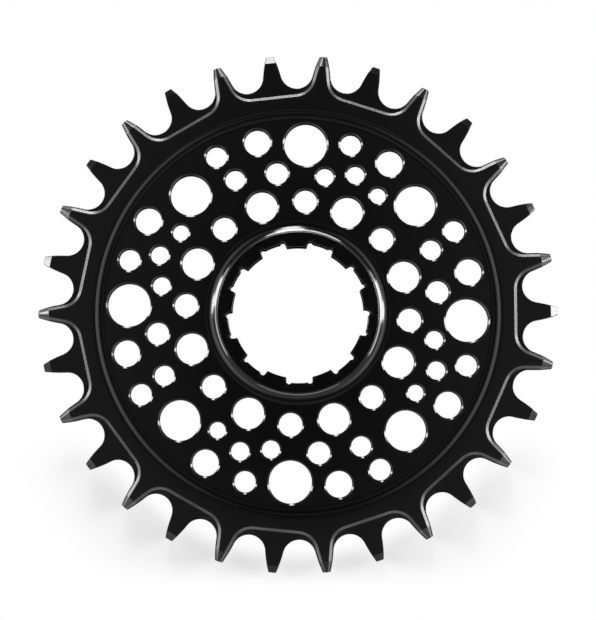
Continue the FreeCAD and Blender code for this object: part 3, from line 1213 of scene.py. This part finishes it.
FINISHES: dict[Region, AnodisedFinish] = {
    Region.FACE: AnodisedFinish(
        name="black_anodised_face", dark=(0.0008, 0.0008, 0.0008), light=(0.0026, 0.0026, 0.0027),
        roughness=(0.10, 0.16), mark_pitch=0.4, mark_share=0.15, bump_distance=0.0015, haze=0.55),
    Region.BEVEL: AnodisedFinish(
        name="black_anodised_turned_bevel", dark=(0.003, 0.003, 0.0031), light=(0.008, 0.008, 0.0084),
        roughness=(0.10, 0.18), speck_size=0.2, mark_pitch=0.22, mark_share=0.6, bump_distance=0.003,
        haze=0.5),
    Region.WALL: AnodisedFinish(
        name="black_anodised_milled_wall", dark=(0.002, 0.002, 0.0021), light=(0.005, 0.005, 0.0053),
        roughness=(0.35, 0.5), speck_size=0.1, film_ior=1.4),
    Region.BOSS: AnodisedFinish(
        name="black_anodised_turned_boss", dark=(0.0008, 0.0008, 0.0008), light=(0.002, 0.002, 0.0021),
        roughness=(0.09, 0.15), worn_glint_colour=(0.006, 0.006, 0.0062), mark_share=0.2, bump_distance=0.001,
        wear_glint_amount=0.2, haze=0.55),
    Region.HOLE: AnodisedFinish(
        name="black_anodised_drilled_wall", dark=(0.002, 0.002, 0.0021), light=(0.005, 0.005, 0.0053),
        roughness=(0.6, 0.8), worn_glint_colour=(0.008, 0.008, 0.0083), speck_size=0.1, wear_glint_amount=0.2, film_ior=1.0),
    Region.RELIEF: AnodisedFinish(
        name="black_anodised_milled_relief", dark=(0.01, 0.01, 0.0103), light=(0.024, 0.024, 0.0247),
        roughness=(0.32, 0.44), worn_glint_colour=(0.02, 0.02, 0.0205), wear_glint_amount=0.4, film_ior=2.2),
}


def place_object(name: str, data: bpy.types.ID) -> bpy.types.Object:
    """Put a new object into the scene.

    Args:
        name: Name of the object.
        data: Its mesh, lamp or camera.

    Returns:
        The object.
    """
    made = bpy.data.objects.new(name, data)
    bpy.context.scene.collection.objects.link(made)
    return made


@dataclass(frozen=True)
class Cog:
    """The whole sprocket as one finely modelled piece, in place of its solid."""

    teeth: ToothRing
    web: Web
    boss: SplineBoss
    name: str = "cog_with_broken_edges"
    sharp_angle: float = 20

    def front(self, plan: np.ndarray) -> np.ndarray:
        """Give the height of the outer side before its edges are broken.

        Args:
            plan: Points to measure.

        Returns:
            Heights.
        """
        radius = np.abs(plan)
        ring = self.teeth.middle_height + self.teeth.half_thickness(plan)
        plate = np.minimum(self.web.front(radius), ring)
        return np.where(radius < self.boss.foot_radius, self.boss.front(radius), plate)

    def back(self, plan: np.ndarray) -> np.ndarray:
        """Give the height of the inner side before its edges are broken.

        Args:
            plan: Points to measure.

        Returns:
            Heights.
        """
        radius = np.abs(plan)
        ring = self.teeth.middle_height - self.teeth.half_thickness(plan)
        return np.where(radius < self.boss.foot_radius, self.boss.back(radius), ring)

    def draw_plan(self) -> Planform:
        """Draw all outlines and creases.

        Returns:
            The plan.
        """
        plan = Planform()
        self.teeth.draw(plan)
        self.web.draw(plan)
        self.boss.draw(plan)
        return plan

    def build(self, effects: SurfaceEffects) -> bpy.types.Object:
        """Build the piece and dress it.

        Args:
            effects: The shared node groups.

        Returns:
            The object, riding on the cog's body.
        """
        plan, triangles, drops = self.draw_plan().fill()
        sides = self.border_edges(triangles)
        mesh = self.raw_mesh(plan, triangles, drops, sides)
        mesh.polygons.foreach_set("material_index", self.regions(plan, triangles, sides))
        # Edges painted paler: broken edges and pad crests, partly as wear and partly as a painted highlight.
        wear_and_glint = np.maximum(drops > 0, self.teeth.edge_wear_and_glint(plan)).astype(np.float32)
        edge = mesh.attributes.new(WEAR_AND_GLINT_ATTRIBUTE, "FLOAT", "POINT")
        edge.data.foreach_set("value", np.tile(wear_and_glint, 2))
        return self.dress(mesh, effects)

    @staticmethod
    def border_edges(triangles: np.ndarray) -> list[tuple[int, int]]:
        """List the edges that only one triangle has, in that triangle's own direction.

        Args:
            triangles: Rows of three point numbers.

        Returns:
            Pairs of point numbers.
        """
        pairs = np.concatenate([triangles[:, [0, 1]], triangles[:, [1, 2]], triangles[:, [2, 0]]])
        known = set(map(tuple, pairs.tolist()))
        return [pair for pair in known if pair[::-1] not in known]

    def raw_mesh(self, plan: np.ndarray, triangles: np.ndarray, drops: np.ndarray,
                 sides: list[tuple[int, int]]) -> bpy.types.Mesh:
        """Make the outer side, the inner side and the walls between them.

        Args:
            plan: Points of the filled plan.
            triangles: Rows of three point numbers.
            drops: How far each point lies below its face.
            sides: Edges of the plan that a wall stands on.

        Returns:
            The closed mesh.
        """
        count = len(plan)
        front = np.column_stack([plan.real, plan.imag, self.front(plan) - drops])
        back = np.column_stack([plan.real, plan.imag, self.back(plan) + drops])
        walls = [(end, start, start + count, end + count) for start, end in sides]
        faces = triangles.tolist() + (triangles[:, ::-1] + count).tolist() + walls
        mesh = bpy.data.meshes.new(self.name)
        mesh.from_pydata((np.concatenate([front, back]) * MM).tolist(), [], faces)
        return mesh

    def regions(self, plan: np.ndarray, triangles: np.ndarray, sides: list[tuple[int, int]]) -> np.ndarray:
        """Sort the faces of the mesh by the way they are cut.

        Args:
            plan: Points of the filled plan.
            triangles: Rows of three point numbers.
            sides: Edges of the plan that a wall stands on.

        Returns:
            Numbers of the regions, for the outer side, the inner side and the walls.
        """
        middle = plan[triangles].mean(axis=1)
        flat = np.where(self.teeth.on_relief_wall(middle), Region.RELIEF.value, Region.FACE.value)
        flat = np.where(self.teeth.on_bevel(middle), Region.BEVEL.value, flat)
        flat = np.where(np.abs(middle) < self.boss.foot_radius, Region.BOSS.value, flat)
        starts = plan[[start for start, _ in sides]]
        wall = np.where(np.abs(starts) < self.web.outer_radius, Region.HOLE.value, Region.WALL.value)
        return np.concatenate([flat, flat, wall]).astype(np.int32)

    def dress(self, mesh: bpy.types.Mesh, effects: SurfaceEffects) -> bpy.types.Object:
        """Smooth the mesh, give it its finishes and hang it on the cog's body.

        Args:
            mesh: The raw mesh.
            effects: The shared node groups.

        Returns:
            The finished object.
        """
        for region in Region:
            mesh.materials.append(FINISHES[region].material(effects))
        mesh.shade_smooth()
        mesh.set_sharp_from_angle(angle=math.radians(self.sharp_angle))
        piece = place_object(self.name, mesh)
        normals = piece.modifiers.new("face_weighted_normals", "WEIGHTED_NORMAL")
        normals.keep_sharp = True
        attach(piece, CAD_BODY)
        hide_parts(CAD_NODE)
        return piece


@dataclass(frozen=True)
class PictureCamera:
    """Camera above the cog, tilted a little towards the picture's lower edge.

    The picture's height is what it shows at the target. The sensor is in millimetres, as Blender has it.
    """

    picture_height: float = 0.15566
    distance: float = 0.52
    tilt: float = 3.5
    roll: float = 0.315
    target: tuple[float, float, float] = (0, 0.00073, 0.003)
    sensor: float = 36
    nearest: float = 0.01

    def build(self) -> bpy.types.Object:
        """Make the camera and let the scene use it.

        Returns:
            The camera.
        """
        data = bpy.data.cameras.new("camera")
        data.sensor_width = self.sensor
        data.lens = self.sensor * self.distance / self.picture_height
        data.clip_start = self.nearest
        made = place_object("camera", data)
        lean = Matrix.Rotation(math.radians(self.tilt), 4, "X")
        spin = Matrix.Rotation(math.radians(-self.roll), 4, "Z")
        back = Matrix.Translation((0, 0, self.distance))
        made.matrix_world = Matrix.Translation(self.target) @ spin @ lean @ back
        bpy.context.scene.camera = made
        return made


@dataclass(frozen=True)
class Floor:
    """White floor just under the boss, on which the cog's shadow shows outside the lower teeth.

    The shadow's zone is bounded by distances from the axis and by places along Y. In it the floor is lit
    by the lamps, which give a white card the card tone. Elsewhere it is a plain white glow with a painted
    pool of light that dims far out. The bounce is its colour for the light that it throws back.
    """

    size: float = 6
    gap: float = 0.00005
    card_tone: float = 0.62
    bounce: Colour = (0.8, 0.8, 0.8)
    zone_start: Fade = Fade(0.058, 0.067, 0.0, 1.0)
    zone_end: Fade = Fade(0.070, 0.086, 1.0, 0.0)
    zone_top: Fade = Fade(-0.045, -0.028, 1.0, 0.0)
    zone_bottom: Fade = Fade(-0.070, -0.061, 0.0, 1.0)
    # Painted pool of light: the floor's glow is white near the cog and dims to the far tone further out.
    far: Fade = Fade(0.13, 0.6, 1.0, FAR_TONE)

    def build(self) -> bpy.types.Object:
        """Make the floor.

        Returns:
            The floor.
        """
        half = self.size / 2
        mesh = bpy.data.meshes.new("floor")
        corners = [(-half, -half, 0), (half, -half, 0), (half, half, 0), (-half, half, 0)]
        mesh.from_pydata(corners, [], [(0, 1, 2, 3)])
        mesh.materials.append(self.material())
        floor = place_object("floor", mesh)
        floor.location.z = -self.gap
        return floor

    def material(self) -> bpy.types.Material:
        """Build the floor's material, which can't be seen from below.

        Returns:
            The material.
        """
        made = bpy.data.materials.new("white_floor")
        made.use_nodes = True
        pen = NodePen(made.node_tree)
        path = pen.add("ShaderNodeLightPath")
        direct = pen.math("MAXIMUM", path.outputs["Is Camera Ray"], path.outputs["Is Glossy Ray"])
        direct = pen.math("MAXIMUM", direct, path.outputs["Is Transmission Ray"])
        plain = pen.add("ShaderNodeBsdfDiffuse", Color=(*self.bounce, 1))
        top = pen.fill(pen.add("ShaderNodeMixShader"), direct, plain.outputs[0], self.seen_white(pen))
        below = pen.add("ShaderNodeNewGeometry").outputs["Backfacing"]
        clear = pen.add("ShaderNodeBsdfTransparent").outputs[0]
        both = pen.fill(pen.add("ShaderNodeMixShader"), below, top, clear)
        pen.add("ShaderNodeOutputMaterial", Surface=both)
        return made

    def seen_white(self, pen: NodePen) -> bpy.types.NodeSocket:
        """Add the white that the camera and the metal see, with the zone of the shadow.

        Args:
            pen: Pen of the material's tree.

        Returns:
            The shader.
        """
        place = pen.add("ShaderNodeSeparateXYZ", Vector=pen.add("ShaderNodeTexCoord").outputs["Object"])
        along = place.outputs["Y"]
        radius = pen.length(place.outputs["X"], along)
        ring = pen.math("MULTIPLY", self.zone_start.of(pen, radius), self.zone_end.of(pen, radius))
        band = pen.math("MULTIPLY", self.zone_top.of(pen, along), self.zone_bottom.of(pen, along))
        zone = pen.math("MULTIPLY", ring, band)
        glow = pen.math("SUBTRACT", self.far.of(pen, radius), pen.math("MULTIPLY", zone, self.card_tone))
        white = pen.add("ShaderNodeEmission", Strength=glow)
        lit = pen.add("ShaderNodeBsdfDiffuse", Color=zone)
        return pen.fill(pen.add("ShaderNodeAddShader"), white.outputs[0], lit.outputs[0])


@dataclass(frozen=True)
class Surroundings:
    """Room that the cog mirrors: a pale horizon, two pale side walls and a dim ceiling.

    Tones depend on the parts of a direction of length 1, and a tone of 1 is white. The ceiling has a dark
    gap round the camera, drawn out along Y.
    """

    horizon: Fade = Fade(0.02, 0.15, FAR_TONE, 0.0)
    room: Fade = Fade(-0.4, 0.2, 0.25, 0.05)
    room_top: Fade = Fade(0.5, 0.85, 1.0, 0.1)
    walls: Fade = Fade(0.15, 0.8, 0.0, 0.65)
    walls_foot: Fade = Fade(0.45, 0.6, 0.0, 1.0)
    walls_top: Fade = Fade(0.7, 0.92, 1.0, 0.0)
    gap: Fade = Fade(0.045, 0.08, 0.0, 0.036)
    gap_squeeze: float = 0.75
    gap_shift: float = -0.026
    ceiling_sides: Fade = Fade(0.03, 0.08, 0.0, 0.034)
    ceiling_near: Fade = Fade(-0.06, -0.03, 0.045, 0.0)
    ceiling_end: Fade = Fade(0.17, 0.42, 1.0, 0.0)

    def build(self) -> bpy.types.World:
        """Make the world and let the scene use it.

        Returns:
            The world.
        """
        world = bpy.data.worlds.new("studio")
        world.use_nodes = True
        pen = NodePen(world.node_tree)
        heading = pen.add("ShaderNodeSeparateXYZ", Vector=pen.add("ShaderNodeTexCoord").outputs["Generated"])
        across, along, height = (heading.outputs[axis] for axis in "XYZ")
        room = pen.math("MULTIPLY", self.room.of(pen, along), self.room_top.of(pen, height))
        room = pen.math("MAXIMUM", self.horizon.of(pen, height), room)
        aside = pen.math("ABSOLUTE", across)
        band = pen.math("MULTIPLY", self.walls_foot.of(pen, height), self.walls_top.of(pen, height))
        walls = pen.math("MULTIPLY", self.walls.of(pen, aside), band)
        ceiling = self.ceiling(pen, across, along)
        total = pen.math("ADD", pen.math("ADD", room, walls), ceiling)
        sky = pen.add("ShaderNodeBackground", Color=(1, 1, 1, 1), Strength=total)
        pen.add("ShaderNodeOutputWorld", Surface=sky.outputs[0])
        bpy.context.scene.world = world
        return world

    def ceiling(self, pen: NodePen, across: bpy.types.NodeSocket,
                along: bpy.types.NodeSocket) -> bpy.types.NodeSocket:
        """Add the dim ceiling that flat faces mirror.

        Args:
            pen: Pen of the world's tree.
            across: Part of the direction along X.
            along: Part of the direction along Y.

        Returns:
            The ceiling's tone.
        """
        squeezed = pen.math("MULTIPLY_ADD", along, self.gap_squeeze, self.gap_shift)
        spread = pen.length(across, squeezed)
        sides = self.ceiling_sides.of(pen, pen.math("ABSOLUTE", across))
        tone = pen.math("ADD", self.gap.of(pen, spread), sides)
        tone = pen.math("ADD", tone, self.ceiling_near.of(pen, along))
        return pen.math("MULTIPLY", tone, self.ceiling_end.of(pen, spread))


@dataclass(frozen=True)
class Softbox:
    """One soft lamp, placed round the cog and turned to it. A radiance of 1 looks white."""

    name: str
    azimuth: float
    elevation: float
    width: float
    height: float
    radiance: float
    distance: float = 0.5

    def build(self) -> bpy.types.Object:
        """Make the lamp.

        Returns:
            The lamp.
        """
        lamp = bpy.data.lights.new(self.name, "AREA")
        lamp.shape = "RECTANGLE"
        lamp.size = self.width
        lamp.size_y = self.height
        lamp.energy = self.radiance * math.pi * self.width * self.height
        made = place_object(self.name, lamp)
        flat = self.distance * math.cos(math.radians(self.elevation)) * direction(self.azimuth)
        made.location = (flat.real, flat.imag, self.distance * math.sin(math.radians(self.elevation)))
        made.rotation_euler = (-made.location).to_track_quat("-Z", "Y").to_euler()
        made.visible_camera = False
        return made


@dataclass(frozen=True)
class Studio:
    """Everything round the cog.

    On three sides a low, a middle and a high lamp light different slopes. The lower edge of the picture,
    which is the front, has only a weak low one.
    """

    camera: PictureCamera = PictureCamera()
    floor: Floor = Floor()
    surroundings: Surroundings = Surroundings()
    lamps: tuple[Softbox, ...] = (
        Softbox("softbox_top", azimuth=95, elevation=13, width=0.15, height=0.22, radiance=6.5),
        Softbox("softbox_top_high", azimuth=94, elevation=31, width=0.08, height=0.10, radiance=8),
        Softbox("softbox_top_low", azimuth=86, elevation=6, width=0.46, height=0.10, radiance=6),
        Softbox("softbox_left", azimuth=162, elevation=16, width=0.17, height=0.18, radiance=7),
        Softbox("softbox_left_high", azimuth=170, elevation=32, width=0.09, height=0.12, radiance=7),
        Softbox("softbox_left_low", azimuth=176, elevation=6, width=0.62, height=0.10, radiance=3.5),
        Softbox("softbox_right", azimuth=11, elevation=16, width=0.24, height=0.18, radiance=7),
        Softbox("softbox_right_high", azimuth=5, elevation=31, width=0.09, height=0.10, radiance=8),
        Softbox("softbox_right_low", azimuth=2, elevation=6, width=0.58, height=0.10, radiance=4.5),
        Softbox("softbox_front_low", azimuth=270, elevation=5, width=0.6, height=0.08, radiance=1.2),
    )

    def build(self) -> list[bpy.types.Object]:
        """Set up everything.

        Returns:
            Camera, floor and lamps.
        """
        self.surroundings.build()
        bpy.context.scene.view_settings.view_transform = "Standard"
        return [part.build() for part in (self.camera, self.floor, *self.lamps)]


def make_cog(standoff: float = 1.2, rim_flat: float = 2.7, web_thickness: float = 2.85) -> Cog:
    """Set the three sub-assemblies against each other.

    Args:
        standoff: Height of the plate's back above the end of the boss.
        rim_flat: Width of the flat rim between the reliefs and the step.
        web_thickness: Thickness of the web.

    Returns:
        The cog, not yet built.
    """
    teeth = ToothRing(back_height=standoff)
    boss = SplineBoss(web_height=standoff + web_thickness, back_height=standoff)
    web = Web(rim_radius=teeth.relief_chord - rim_flat, foot_radius=boss.foot_radius, back_height=standoff,
              rim_thickness=2 * teeth.half_wide, thickness=web_thickness)
    return Cog(teeth, web, boss)


def main() -> None:
    """Build the cog and the studio."""
    logging.basicConfig(level=logging.INFO, format="%(name)s: %(message)s")
    piece = make_cog().build(SurfaceEffects())
    log.info("%s: %d faces", piece.name, len(piece.data.polygons))
    for part in Studio().build():
        log.info("%s: set", part.name)


if __name__ == "__main__":
    main()
